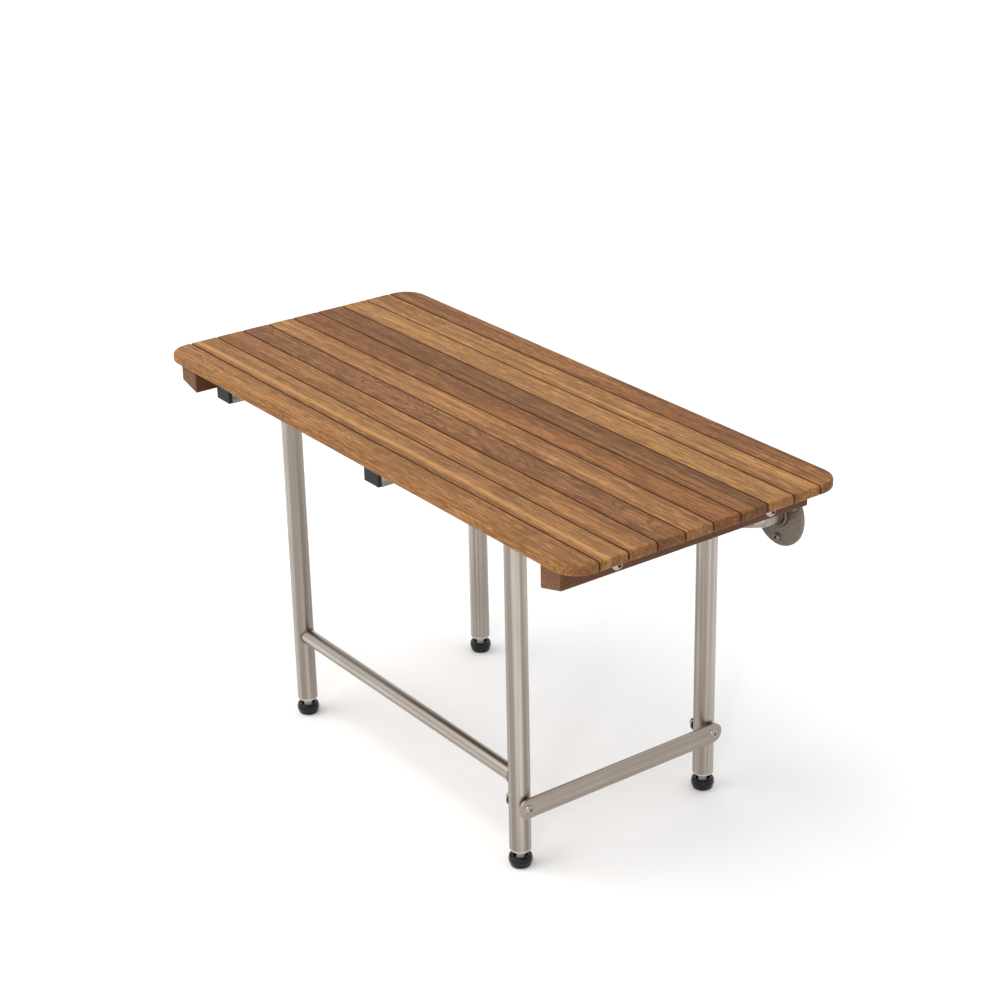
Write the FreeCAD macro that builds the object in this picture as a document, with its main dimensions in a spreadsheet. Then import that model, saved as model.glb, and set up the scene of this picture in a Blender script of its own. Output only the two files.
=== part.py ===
import FreeCAD, Part
import Sketcher
import math
import os
import re

# Folding teak shower bench, millimetres.
# X runs along the seat, Y from the front edge towards the wall, Z up.
# The origin is on the floor, in the middle of the bench's plan.

Vector = FreeCAD.Vector
doc = FreeCAD.newDocument("folding_shower_bench")

# ---------------------------------------------------------------- driving dimensions

DIMENSIONS = [
    ("seat_length", 832, "length of the slats"),
    ("seat_height", 464, "floor to top of the slats"),
    ("slat_count", 10, "slats from front to back"),
    ("slat_width", 36, "width of one slat"),
    ("slat_gap", 2, "drainage gap between slats"),
    ("slat_thick", 12, "thickness of a slat"),
    ("corner_radius", 31, "rounded corners of the seat's plan"),
    ("end_round", 3.5, "rounding along the seat's outer edge"),
    ("edge_round", 1, "rounding along the gaps"),
    ("wall_gap", 22, "seat's rear edge to the wall"),
    ("arm_width", 30, "seat arm, rectangular tube, across"),
    ("arm_height", 43, "seat arm, rectangular tube, upright"),
    ("arm_wall", 2, "seat arm's wall"),
    ("arm_spacing", 336, "middle arm to outer arm"),
    ("arm_setback", 35, "seat's front edge to the front cap's face"),
    ("arm_length", 330, "arm tube without its caps"),
    ("cap_head", 5, "thickness of an arm cap's head"),
    ("cap_plug", 6, "length of the cap's plug inside the tube"),
    ("cap_room", 0.15, "gap all round between plug and tube"),
    ("cap_side_round", 1.5, "rounding of a cap's four long edges"),
    ("cap_face_round", 1.2, "rounding of a cap's face"),
    ("batten_gap", 3, "outer arm to end batten"),
    ("batten_width", 34.5, "end batten, across"),
    ("batten_height", 23, "end batten's depth along its outer face"),
    ("batten_deep", 32, "end batten's depth along its inner face"),
    ("batten_length", 342, "end batten, front to back"),
    ("batten_setback", 8, "seat's front edge to the batten's end"),
    ("batten_round", 2, "rounding of the batten's edges"),
    ("bolt_diameter", 6, "batten bolt"),
    ("bolt_head", 14, "domed head of a batten bolt"),
    ("bolt_head_high", 4.5, "height of that head"),
    ("bolt_key", 5, "hexagon socket in that head"),
    ("nut_diameter", 9, "blind nut in the outer arm"),
    ("nut_length", 12, "blind nut in the outer arm"),
    ("nut_flange", 14, "flange of that nut, which spaces the batten from the arm"),
    ("batten_bolt_front", 82, "seat's front edge to the front batten bolts"),
    ("batten_bolt_rear", 295, "seat's front edge to the rear batten bolts"),
    ("batten_bolt_drop", 26, "top of the slats to the batten bolts"),
    ("leg_diameter", 25.4, "leg and wall rail tube"),
    ("leg_wall", 1.5, "wall of the leg tube"),
    ("leg_spacing", 459, "left legs to right legs"),
    ("front_leg_setback", 69, "seat's front edge to the front legs"),
    ("leg_pitch", 277, "front legs to rear legs"),
    ("foot_height", 23.5, "floor to the end of the leg tube"),
    ("axle_diameter", 19, "cross tube that a pair of legs hinges on"),
    ("axle_wall", 2, "wall of the cross tube"),
    ("barrel_length", 40, "hinge barrel on top of a leg"),
    ("barrel_bore", 22.2, "bore of the hinge barrel"),
    ("bush_play", 0.06, "radial running clearance of a bush"),
    ("bush_flange", 1.5, "thickness of a bush's flange"),
    ("bush_length", 14, "length of a bush inside the barrel"),
    ("collar_width", 6, "collar beside a hinge barrel"),
    ("collar_diameter", 28, "outside of the collar"),
    ("side_play", 0.35, "end play between bush and collar"),
    ("rail_height", 374, "floor to the wall rail's axis"),
    ("rail_bend", 45, "bend radius of the wall rail's axis"),
    ("flange_spacing", 587, "left wall flange to right wall flange"),
    ("flange_diameter", 80, "wall flange"),
    ("flange_thick", 4, "wall flange"),
    ("flange_circle", 60, "circle of the wall screws"),
    ("flange_hole", 6.5, "hole for a wall screw"),
    ("flange_round", 1.4, "rounding of the flange's rim"),
    ("stretcher_diameter", 19, "tube between the front legs"),
    ("stretcher_height", 114, "floor to the stretcher's axis"),
    ("link_height", 82, "floor to the link bar's pivots"),
    ("link_width", 25, "flat link bar, upright"),
    ("link_thick", 3, "flat link bar, across"),
    ("link_standoff", 2.5, "leg tube to link bar"),
    ("pivot_diameter", 6, "link pivot screw"),
    ("pivot_head", 11.5, "domed head of the pivot screw"),
    ("pivot_head_high", 3.4, "height of that head"),
    ("pivot_key", 4, "hexagon socket in that head"),
    ("pivot_thread", 6, "pivot screw's thread inside its cap nut"),
    ("cap_nut_across", 10, "cap nut, across flats"),
    ("cap_nut_high", 9, "cap nut"),
    ("washer_diameter", 18, "washers beside the leg"),
    ("washer_thick", 1.5, "washer under the cap nut"),
    ("pivot_play", 0.06, "radial clearance at the link's rear pivot"),
    ("pivot_open_play", 0.4, "radial clearance at the link's front pivot"),
    ("pad_diameter", 28.6, "foot pad where it is widest, before rounding"),
    ("pad_base", 24, "foot pad at the floor, before rounding"),
    ("pad_rim", 26.4, "foot pad at its rim, before rounding"),
    ("pad_height", 14, "foot pad"),
    ("pad_waist", 8, "floor to the widest part"),
    ("pad_recess", 17, "hollow in the top of the pad"),
    ("pad_recess_floor", 8.5, "floor to the bottom of that hollow"),
    ("pad_seat", 3.5, "floor to the stud's end inside the pad"),
    ("stud_diameter", 6, "threaded stud of a foot"),
    ("stud_top", 52, "floor to the top of the stud"),
    ("stud_hex", 9, "hex of the stud, across flats"),
    ("stud_hex_high", 8, "height of that hex, above the hollow's bottom"),
    ("stud_play", 0.06, "radial clearance of stud and insert"),
    ("insert_length", 24, "threaded insert in a leg's end"),
    ("insert_flange", 2, "flange of the insert, under the tube's end"),
    ("screw_diameter", 4, "slat screw"),
    ("screw_grip", 8, "length of a slat screw inside the slat"),
    ("screw_head", 8.5, "domed head of a slat screw"),
    ("screw_head_high", 2.6, "height of that head"),
    ("screw_key", 2.5, "hexagon socket in that head"),
    ("screw_play", 0.6, "how much wider a screw's clearance hole is"),
    ("head_play", 1, "how much wider a counterbore is than the screw's head"),
    ("hole_play", 0.1, "how much wider the hole of a fixed piece is"),
]

sheet = doc.addObject("Spreadsheet::Sheet", "Dimensions")
for row, (alias, amount, meaning) in enumerate(DIMENSIONS, start=1):
    sheet.set(f"A{row}", alias)
    sheet.set(f"B{row}", str(amount))
    sheet.set(f"C{row}", meaning)
    sheet.setAlias(f"B{row}", alias)
doc.recompute()

ALIASES = [entry[0] for entry in DIMENSIONS]


def size(alias):
    """The number in the sheet's cell of this name."""
    return float(sheet.get(alias))


def bound(text):
    """A formula in the sheet's words, as an expression that other objects can hold."""
    return re.sub(r"[a-z]\w*", lambda word: in_sheet(word.group()), str(text))


def in_sheet(word):
    return "Dimensions." + word if word in ALIASES else word


# ---------------------------------------------------------------- places worked out from them

SLAT_PITCH = "(slat_width + slat_gap)"
SEAT_DEPTH = "(slat_count * slat_width + (slat_count - 1) * slat_gap)"
WALL_Y = f"(({SEAT_DEPTH} + wall_gap) / 2)"
FRONT_Y = f"(-{WALL_Y})"
UNDERSIDE = "(seat_height - slat_thick)"
HINGE_Z = f"({UNDERSIDE} - arm_height / 2)"
FRONT_LEG_Y = f"({FRONT_Y} + front_leg_setback)"
REAR_LEG_Y = f"({FRONT_LEG_Y} + leg_pitch)"
ARM_START_Y = f"({FRONT_Y} + arm_setback + cap_head)"
BATTEN_X = "(arm_spacing + arm_width / 2 + batten_gap + batten_width / 2)"
LEG_X = "(leg_spacing / 2)"
LINK_X = f"({LEG_X} + leg_diameter / 2 + link_standoff)"
LEG_BORE = "(leg_diameter - 2 * leg_wall)"

SIDES = [("left", -1), ("right", 1)]

# ---------------------------------------------------------------- helpers

TURN = {
    "X": FreeCAD.Rotation(Vector(0, 1, 0), 90),
    "-X": FreeCAD.Rotation(Vector(0, 1, 0), -90),
    "Y": FreeCAD.Rotation(Vector(1, 0, 0), -90),
    "Z": FreeCAD.Rotation(),
    "-Z": FreeCAD.Rotation(Vector(1, 0, 0), 180),
}
nodes = []


def place(thing, x=0, y=0, z=0, along="Z"):
    """Puts an object at three formulas, with its own Z turned along an axis."""
    thing.Placement = FreeCAD.Placement(Vector(), TURN[along])
    for letter, formula in zip("xyz", (x, y, z)):
        thing.setExpression(f".Placement.Base.{letter}", bound(formula))
    return thing


def cylinder(name, diameter, length, x=0, y=0, z=0, along="Z"):
    round_bar = doc.addObject("Part::Cylinder", name)
    round_bar.setExpression("Radius", bound(f"({diameter}) / 2"))
    round_bar.setExpression("Height", bound(length))
    return place(round_bar, x, y, z, along)


def cone(name, low_diameter, high_diameter, length, x=0, y=0, z=0, along="Z"):
    tapered = doc.addObject("Part::Cone", name)
    tapered.setExpression("Radius1", bound(f"({low_diameter}) / 2"))
    tapered.setExpression("Radius2", bound(f"({high_diameter}) / 2"))
    tapered.setExpression("Height", bound(length))
    return place(tapered, x, y, z, along)


def hexagon(name, across_flats, length, x=0, y=0, z=0, along="Z"):
    prism = doc.addObject("Part::Prism", name)
    prism.Polygon = 6
    prism.setExpression("Circumradius", bound(f"({across_flats}) / 2 / cos(30)"))
    prism.setExpression("Height", bound(length))
    return place(prism, x, y, z, along)


def sphere(name, diameter, x=0, y=0, z=0):
    ball = doc.addObject("Part::Sphere", name)
    ball.setExpression("Radius", bound(f"({diameter}) / 2"))
    return place(ball, x, y, z)


def fuse(name, *pieces):
    joined = doc.addObject("Part::MultiFuse", name)
    joined.Shapes = list(pieces)
    joined.Refine = True
    return joined


def common(name, first, second):
    shared = doc.addObject("Part::Common", name)
    shared.Base = first
    shared.Tool = second
    return shared


def cut(name, base, *tools):
    """The base with every tool cut out of it."""
    remaining = doc.addObject("Part::Cut", name)
    remaining.Base = base
    remaining.Tool = tools[0] if len(tools) == 1 else fuse(name + "_tools", *tools)
    return remaining


def tube(name, diameter, wall, length, x=0, y=0, z=0, along="Z"):
    outside = cylinder(name + "_outside", diameter, length, x, y, z, along)
    inside = cylinder(name + "_inside", f"{diameter} - 2 * {wall}", length, x, y, z, along)
    return cut(name + "_tube", outside, inside)


def node(thing, name):
    """Names a finished sub-part; the label is also its file's name."""
    thing.Label = name
    nodes.append(thing)
    return thing


def group(name, shapes):
    """Identical small pieces as separate solids in one node."""
    pieces = doc.addObject("Part::Feature", name + "_group")
    pieces.Shape = Part.makeCompound(shapes)
    pieces.Placement = FreeCAD.Placement()
    return node(pieces, name)


def compound(name, members):
    """Several objects as one node."""
    gathered = doc.addObject("Part::Compound", name + "_set")
    gathered.Links = members
    return node(gathered, name)


def moved(shape, x, y, z, along):
    """A copy of a master shape, with its own Z turned along an axis and moved."""
    copy = shape.copy()
    copy.Placement = FreeCAD.Placement(Vector(x, y, z), TURN[along]).multiply(shape.Placement)
    return copy


def new_body(name, x=0, y=0, z=0):
    return place(doc.addObject("PartDesign::Body", name + "_body"), x, y, z)


def sketch_on(body, name, plane):
    """An empty sketch on one of the body's own origin planes."""
    drawing = body.newObject("Sketcher::SketchObject", f"{body.Name}_{name}")
    for feature in body.Origin.OriginFeatures:
        if feature.Role == plane:
            drawing.AttachmentSupport = (feature, "")
    drawing.MapMode = "FlatFace"
    return drawing


def dimension(drawing, constraint, name, formula):
    """Adds a named driving constraint that reads the sheet."""
    index = drawing.addConstraint(constraint)
    drawing.renameConstraint(index, name)
    drawing.setExpression(f"Constraints.{name}", bound(formula))


def add_rectangle(drawing, name, width, height):
    """A rectangle centred on the sketch's origin."""
    start = drawing.GeometryCount
    corners = [(-10, -10), (10, -10), (10, 10), (-10, 10)]
    for index in range(4):
        first = Vector(*corners[index], 0)
        second = Vector(*corners[(index + 1) % 4], 0)
        drawing.addGeometry(Part.LineSegment(first, second))
    for index in range(4):
        following = start + (index + 1) % 4
        drawing.addConstraint(Sketcher.Constraint("Coincident", start + index, 2, following, 1))
    for index in (0, 2):
        drawing.addConstraint(Sketcher.Constraint("Horizontal", start + index))
        drawing.addConstraint(Sketcher.Constraint("Vertical", start + index + 1))
    drawing.addConstraint(Sketcher.Constraint("Symmetric", start, 1, start + 1, 2, -1, 1))
    across = Sketcher.Constraint("DistanceX", start, 1, start, 2, 20.0)
    upright = Sketcher.Constraint("DistanceY", start + 1, 1, start + 1, 2, 20.0)
    dimension(drawing, across, name + "_across", width)
    dimension(drawing, upright, name + "_upright", height)


def add_circle(drawing, name, diameter, x="0", y="0"):
    """A circle whose centre is held from the sketch's origin."""
    index = drawing.addGeometry(Part.Circle(Vector(1, 1, 0), Vector(0, 0, 1), 3))
    dimension(drawing, Sketcher.Constraint("Diameter", index, 6.0), name + "_wide", diameter)
    sideways = Sketcher.Constraint("DistanceX", -1, 1, index, 3, 1.0)
    upright = Sketcher.Constraint("DistanceY", -1, 1, index, 3, 1.0)
    dimension(drawing, sideways, name + "_x", x)
    dimension(drawing, upright, name + "_y", y)


def pad(body, drawing, length, reverse=False):
    feature = body.newObject("PartDesign::Pad", drawing.Name + "_pad")
    feature.Profile = drawing
    feature.setExpression("Length", bound(length))
    feature.Reversed = reverse
    doc.recompute()
    return feature


def pocket(body, drawing, length=None, reverse=False):
    """A pocket of a given depth, or right through both ways. It has to remove material."""
    before = body.Shape.Volume
    feature = body.newObject("PartDesign::Pocket", drawing.Name + "_pocket")
    feature.Profile = drawing
    feature.Reversed = reverse
    if length is None:
        feature.Type = "ThroughAll"
        feature.SideType = "Symmetric"
    else:
        feature.setExpression("Length", bound(length))
    doc.recompute()
    if body.Shape.Volume >= before:
        raise RuntimeError(f"{drawing.Name} cuts nothing")
    return feature


def round_edges(body, radius, wanted):
    """Fillets the edges of the body's tip that the test picks."""
    tip = body.Tip
    picked = [f"Edge{i}" for i, edge in enumerate(tip.Shape.Edges, start=1) if wanted(edge)]
    if not picked:
        raise RuntimeError(f"{body.Name} has no edge to round")
    fillet = body.newObject("PartDesign::Fillet", tip.Name + "_round")
    fillet.Base = (tip, picked)
    fillet.setExpression("Radius", bound(radius))
    doc.recompute()
    return fillet


def runs_along(edge, axis):
    if edge.Curve.TypeId != "Part::GeomLine":
        return False
    return abs(abs(edge.tangentAt(edge.FirstParameter).dot(axis)) - 1) < 1e-6


def is_ring(edge):
    return edge.Curve.TypeId == "Part::GeomCircle" and edge.isClosed()


def middle(edge):
    return edge.valueAt((edge.FirstParameter + edge.LastParameter) / 2)


X_AXIS = Vector(1, 0, 0)
Y_AXIS = Vector(0, 1, 0)
Z_AXIS = Vector(0, 0, 1)

# ---------------------------------------------------------------- seat: slats, battens, arms


last_slat = int(size("slat_count")) - 1
NOT_ON_ARMS = [0]  # the first slat lies in front of the arms
NOT_ON_BATTENS = [last_slat]  # the battens end under the last slat's front edge


def slat_y(index):
    return f"({FRONT_Y} + slat_width / 2 + {index} * {SLAT_PITCH})"


def make_slat(index, outer_side):
    """One slat with eased edges; the first and the last carry the seat's rounded corners."""
    name = f"slat_{index + 1:02d}"
    body = node(new_body(name, 0, slat_y(index), UNDERSIDE), name)
    outline = sketch_on(body, "outline", "XY_Plane")
    add_rectangle(outline, "plan", "seat_length", "slat_width")
    pad(body, outline, "slat_thick")
    half_long = size("seat_length") / 2
    half_wide = size("slat_width") / 2

    def is_corner(edge):
        return runs_along(edge, Z_AXIS) and middle(edge).y * outer_side > 0

    def is_gap_edge(edge):
        return runs_along(edge, X_AXIS) and middle(edge).y * outer_side < half_wide - 0.01

    def is_outer_edge(edge):
        point = middle(edge)
        level = abs(edge.tangentAt(edge.FirstParameter).z) < 1e-6
        at_end = runs_along(edge, Y_AXIS) and abs(point.x) > half_long - 0.01
        return level and at_end

    if outer_side:
        round_edges(body, "corner_radius", is_corner)
    round_edges(body, "end_round", is_outer_edge)
    round_edges(body, "edge_round", is_gap_edge)

    pilots = sketch_on(body, "pilots", "XY_Plane")
    across = []
    if index not in NOT_ON_ARMS:
        across += ["-arm_spacing", "0", "arm_spacing"]
    if index not in NOT_ON_BATTENS:
        across += [f"-{BATTEN_X}", BATTEN_X]
    for number, x in enumerate(across):
        add_circle(pilots, f"pilot_{number}", "screw_diameter + hole_play", x)
    pocket(body, pilots, "screw_grip + 0.5", reverse=True)
    return body


def add_batten_section(drawing, sign):
    """Four sides under a level top: the inner face is deeper than the outer one."""
    depths = ["batten_deep", "batten_height"]
    left, right = depths if sign > 0 else depths[::-1]
    corners = [(-10, 0), (-10, -20), (10, -20), (10, 0)]
    for number in range(4):
        first = Vector(*corners[number], 0)
        second = Vector(*corners[(number + 1) % 4], 0)
        drawing.addGeometry(Part.LineSegment(first, second))
    for number in range(4):
        following = (number + 1) % 4
        drawing.addConstraint(Sketcher.Constraint("Coincident", number, 2, following, 1))
    drawing.addConstraint(Sketcher.Constraint("Vertical", 0))
    drawing.addConstraint(Sketcher.Constraint("Vertical", 2))
    drawing.addConstraint(Sketcher.Constraint("PointOnObject", 0, 1, -1))
    drawing.addConstraint(Sketcher.Constraint("Symmetric", 0, 1, 2, 2, -2))
    across = Sketcher.Constraint("DistanceX", 0, 1, 2, 2, 20.0)
    dimension(drawing, across, "across", "batten_width")
    dimension(drawing, Sketcher.Constraint("DistanceY", 0, 2, 0, 1, 20.0), "left_depth", left)
    dimension(drawing, Sketcher.Constraint("DistanceY", 2, 1, 2, 2, 20.0), "right_depth", right)


def make_batten(side, sign):
    """Wooden rail under the slat ends, with a sloping underside, bolted to the outer arm."""
    start = f"({FRONT_Y} + batten_setback)"
    name = f"end_batten_{side}"
    body = node(new_body(name, f"{sign} * {BATTEN_X}", start, UNDERSIDE), name)
    section = sketch_on(body, "section", "XZ_Plane")
    add_batten_section(section, sign)
    pad(body, section, "batten_length", reverse=True)
    round_edges(body, "batten_round", lambda edge: middle(edge).z < -0.01)
    screws = sketch_on(body, "screws", "XY_Plane")
    heads = sketch_on(body, "heads", "XY_Plane")
    heads.setExpression(".AttachmentOffset.Base.z", bound("-batten_height"))
    for index in range(last_slat + 1):
        if index not in NOT_ON_BATTENS:
            back = f"{slat_y(index)} - {start}"
            add_circle(screws, f"screw_{index}", "screw_diameter + screw_play", "0", back)
            add_circle(heads, f"head_{index}", "screw_head + head_play", "0", back)
    pocket(body, screws)
    pocket(body, heads, "batten_deep - batten_height")
    bolts = sketch_on(body, "bolts", "YZ_Plane")
    for where in ("front", "rear"):
        back = f"{FRONT_Y} + batten_bolt_{where} - {start}"
        add_circle(bolts, where, "bolt_diameter + screw_play", back, "slat_thick - batten_bolt_drop")
    pocket(body, bolts)
    return body


def make_arm(side, sign):
    """Rectangular tube that carries the slats, with holes for both cross tubes and the screws."""
    name = f"seat_arm_{side}"
    body = node(new_body(name, f"{sign} * arm_spacing", ARM_START_Y, HINGE_Z), name)
    section = sketch_on(body, "section", "XZ_Plane")
    add_rectangle(section, "outside", "arm_width", "arm_height")
    add_rectangle(section, "inside", "arm_width - 2 * arm_wall", "arm_height - 2 * arm_wall")
    pad(body, section, "arm_length", reverse=True)
    axles = sketch_on(body, "axles", "YZ_Plane")
    add_circle(axles, "front", "axle_diameter + hole_play", f"{FRONT_LEG_Y} - {ARM_START_Y}")
    add_circle(axles, "rear", "axle_diameter + hole_play", f"{REAR_LEG_Y} - {ARM_START_Y}")
    pocket(body, axles)
    screws = sketch_on(body, "screws", "XY_Plane")
    for index in range(last_slat + 1):
        if index not in NOT_ON_ARMS:
            back = f"{slat_y(index)} - {ARM_START_Y}"
            add_circle(screws, f"screw_{index}", "screw_diameter + screw_play", "0", back)
    pocket(body, screws)
    if sign:
        nuts = sketch_on(body, "nuts", "YZ_Plane")
        level = f"{UNDERSIDE} + slat_thick - batten_bolt_drop - {HINGE_Z}"
        for where in ("front", "rear"):
            back = f"{FRONT_Y} + batten_bolt_{where} - {ARM_START_Y}"
            add_circle(nuts, where, "nut_diameter + hole_play", back, level)
        pocket(body, nuts, "arm_width", reverse=sign > 0)
    return body


def make_arm_cap(name, sign, at_front):
    """Black plug with a square head that closes the end of an arm."""
    y = ARM_START_Y if at_front else f"{ARM_START_Y} + arm_length"
    body = new_body(name, f"{sign} * arm_spacing", y, HINGE_Z)
    plug = sketch_on(body, "plug", "XZ_Plane")
    room = "2 * (arm_wall + cap_room)"
    add_rectangle(plug, "plug", f"arm_width - {room}", f"arm_height - {room}")
    pad(body, plug, "cap_plug", reverse=at_front)
    head = sketch_on(body, "head", "XZ_Plane")
    add_rectangle(head, "head", "arm_width", "arm_height")
    pad(body, head, "cap_head", reverse=not at_front)
    outward = -1 if at_front else 1
    face = size("cap_head") - 0.01
    round_edges(body, "cap_side_round", lambda edge: 0.01 < middle(edge).y * outward < face)
    round_edges(body, "cap_face_round", lambda edge: middle(edge).y * outward > face)
    return body


slats = []
for index in range(last_slat + 1):
    slats.append(make_slat(index, {0: -1, last_slat: 1}.get(index, 0)))
battens = [make_batten(side, sign) for side, sign in SIDES]
ARMS = [("left", -1), ("middle", 0), ("right", 1)]
arms = [make_arm(side, sign) for side, sign in ARMS]
rear_caps = []
for side, sign in ARMS:
    node(make_arm_cap(f"arm_cap_front_{side}", sign, True), f"arm_cap_front_{side}")
    rear_caps.append(make_arm_cap(f"arm_cap_rear_{side}", sign, False))
compound("arm_caps_rear", rear_caps)

# ---------------------------------------------------------------- fasteners


def dome(name, wide, high, z=0):
    """A flat-bottomed dome, the common part of a short cylinder and a sphere."""
    ball_diameter = f"((({wide}) ^ 2 / 4 + ({high}) ^ 2) / ({high}))"
    ball = sphere(name + "_ball", ball_diameter, 0, 0, f"{z} + ({high}) - {ball_diameter} / 2")
    return common(name + "_dome", cylinder(name + "_disc", wide, high, 0, 0, z), ball)


def button_screw(name, shank, length, head, height, socket):
    """A screw standing on its shank's end: the head is above z = 0, with a hexagon socket."""
    body = cylinder(name + "_shank", shank, length, z=f"-({length})")
    joined = fuse(name + "_solid", dome(name, head, height), body)
    key = hexagon(name + "_key", socket, height, 0, 0, f"({height}) * 0.4")
    return cut(name + "_screw", joined, key)


def dome_nut(name, thread, across, height):
    """Cap nut: a hexagon with a dome on it and a blind thread."""
    crown = dome(name, f"({across}) * 0.96", f"({height}) * 0.5", f"({height}) * 0.5")
    outside = fuse(name + "_solid", hexagon(name + "_hex", across, f"({height}) * 0.5"), crown)
    return cut(name + "_nut", outside, cylinder(name + "_thread", thread, f"({height}) * 0.75"))


def washer(name, outside, hole, thick):
    disc = cylinder(name + "_disc", outside, thick)
    return cut(name + "_washer", disc, cylinder(name + "_hole", hole, thick))


def blind_nut(name):
    """Threaded sleeve below z = 0, with a thick flange above it."""
    sleeve = cylinder(name + "_sleeve", "nut_diameter", "nut_length", z="-nut_length")
    flange = cylinder(name + "_flange", "nut_flange", "batten_gap")
    length = "nut_length + batten_gap"
    thread = cylinder(name + "_thread", "bolt_diameter + hole_play", length, z="-nut_length")
    return cut(name + "_nut", fuse(name + "_solid", sleeve, flange), thread)


bolts = []
blind_nuts = []
for side, sign in SIDES:
    outward = "X" if sign > 0 else "-X"
    for where in ("front", "rear"):
        y = f"{FRONT_Y} + batten_bolt_{where}"
        z = "seat_height - batten_bolt_drop"
        grip = "batten_width + batten_gap + nut_length"
        head = ("bolt_head", "bolt_head_high", "bolt_key")
        bolt = button_screw(f"bolt_{side}_{where}", "bolt_diameter", grip, *head)
        face = f"{sign} * ({BATTEN_X} + batten_width / 2)"
        bolts.append(place(bolt, face, y, z, outward))
        nut = blind_nut(f"nut_{side}_{where}")
        blind_nuts.append(place(nut, f"{sign} * (arm_spacing + arm_width / 2)", y, z, outward))
compound("batten_bolts", bolts)
compound("batten_blind_nuts", blind_nuts)

SCREW_HEAD = ("screw_head", "screw_head_high", "screw_key")
arm_screw = button_screw("arm_screw", "screw_diameter", "arm_height + screw_grip", *SCREW_HEAD)
batten_screw = button_screw("batten_screw", "screw_diameter", "batten_height + screw_grip", *SCREW_HEAD)
doc.recompute()


def screws_under(supports, master, drop, left_out):
    """One screw per slat and support, head down under the support."""
    z = size("seat_height") - size("slat_thick") - size(drop)
    shapes = []
    for support in supports:
        for index, slat in enumerate(slats):
            if index not in left_out:
                x = support.Placement.Base.x
                y = slat.Placement.Base.y
                shapes.append(moved(master.Shape, x, y, z, "-Z"))
    return shapes


arm_screws = screws_under(arms, arm_screw, "arm_height", NOT_ON_ARMS)
batten_screws = screws_under(battens, batten_screw, "batten_height", NOT_ON_BATTENS)
group("slat_screws", arm_screws + batten_screws)

# ---------------------------------------------------------------- hinges: cross tubes and barrels

OUTER_FACE = "(arm_spacing + arm_width / 2)"
PAIRS = [("front", FRONT_LEG_Y), ("rear", REAR_LEG_Y)]
BARREL_WALL = "((leg_diameter - barrel_bore) / 2)"

BUSH_HOLE = "axle_diameter + 2 * bush_play"
bush = cut(
    "bush_cut",
    fuse(
        "bush_solid",
        cylinder("bush_collar", "leg_diameter - 0.4", "bush_flange", z="-bush_flange"),
        cylinder("bush_sleeve", "barrel_bore - hole_play", "bush_length"),
    ),
    cylinder("bush_hole", BUSH_HOLE, "bush_length + bush_flange", z="-bush_flange"),
)
collar = washer("collar", "collar_diameter", "axle_diameter + 0.04", "collar_width")
doc.recompute()

collar_shapes = []
for pair, pair_y in PAIRS:
    across = (f"2 * {OUTER_FACE}", f"-{OUTER_FACE}", pair_y, HINGE_Z, "X")
    node(tube(f"axle_{pair}", "axle_diameter", "axle_wall", *across), f"cross_tube_{pair}")
    bush_shapes = []
    for side, sign in SIDES:
        span = ("barrel_length", f"{sign} * {LEG_X} - barrel_length / 2", pair_y, HINGE_Z, "X")
        barrel = tube(f"barrel_{pair}_{side}", "leg_diameter", BARREL_WALL, *span)
        node(barrel, f"hinge_barrel_{pair}_{side}")
        doc.recompute()
        box = barrel.Shape.BoundBox
        y = box.Center.y
        z = box.Center.z
        bush_shapes.append(moved(bush.Shape, box.XMin, y, z, "X"))
        bush_shapes.append(moved(bush.Shape, box.XMax, y, z, "-X"))
        reach = size("bush_flange") + size("side_play")
        collar_shapes.append(moved(collar.Shape, box.XMax + reach, y, z, "X"))
        collar_shapes.append(moved(collar.Shape, box.XMin - reach, y, z, "-X"))
    group(f"hinge_bushes_{pair}", bush_shapes)
group("hinge_collars", collar_shapes)

# ---------------------------------------------------------------- wall rail and flanges


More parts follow.
